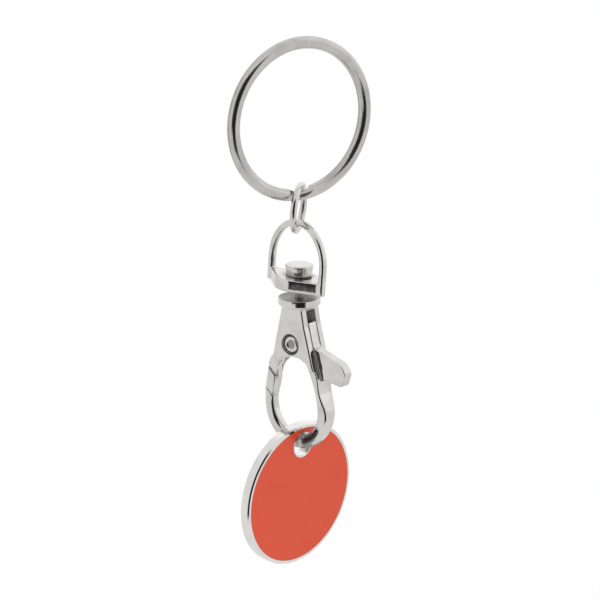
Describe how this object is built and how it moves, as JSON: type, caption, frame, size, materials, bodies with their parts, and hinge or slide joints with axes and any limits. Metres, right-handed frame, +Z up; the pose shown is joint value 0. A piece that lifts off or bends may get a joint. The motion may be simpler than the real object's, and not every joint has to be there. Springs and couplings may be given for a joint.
{
  "type": "coin holder keyring",
  "caption": "Key ring fob: split ring, jump ring and swivel trigger hook that holds an enamelled trolley token by its hole.",
  "frame": {"origin": "centre of the split ring, the place where a key bunch or a finger holds it", "axes": "+Z up as the fob hangs at rest; the hook lies in the XZ plane, its pivot rivet faces -Y and its thumb tab points to +X"},
  "size_m": [0.0163, 0.0246, 0.0834],
  "materials": {
    "nickel_steel": "bright nickel plate on steel",
    "nickel_zinc": "bright nickel plate on cast zinc",
    "spring_steel": "bare wire",
    "enamel": "smooth orange-red fill"
  },
  "bodies": {
    "ring": {"split_ring": "nickel_steel"},
    "link": {"jump_ring": "nickel_steel"},
    "bail": {"swivel_bail": "nickel_zinc"},
    "hook": {"hook_body": "nickel_zinc", "swivel_rivet": "nickel_zinc", "pivot_rivet": "nickel_steel", "gate_spring": "spring_steel"},
    "gate": {"gate_lever": "nickel_zinc"},
    "token": {"coin_blank": "nickel_zinc", "enamel_front": "enamel", "enamel_back": "enamel"}
  },
  "joints": [
    {"name": "link_swing", "type": "hinge", "parent": "ring", "child": "link", "pos_m": [0, 0, -0.01205], "axis": [0.2924, 0.9563, 0], "range_deg": [-20, 90]},
    {"name": "bail_swing", "type": "hinge", "parent": "link", "child": "bail", "pos_m": [-0.00066, 0.00017, -0.01753], "axis": [-0.454, 0.891, 0], "range_deg": [-75, 70]},
    {"name": "hook_swivel", "type": "hinge", "parent": "bail", "child": "hook", "pos_m": [0, 0, -0.02792], "axis": [0, 0, 1], "continuous": true},
    {"name": "gate_open", "type": "hinge", "parent": "hook", "child": "gate", "pos_m": [-0.0001, 0, -0.03512], "axis": [0, -1, 0], "range_deg": [0, 20], "stiffness_Nm_per_rad": 0.02, "springref_deg": -22.92, "deforming": ["gate_spring"]},
    {"name": "token_swing", "type": "hinge", "parent": "hook", "child": "token", "pos_m": [-0.00005, 0, -0.05082], "axis": [0.9943, -0.0556, -0.0906], "range_deg": [-110, 110]}
  ]
}
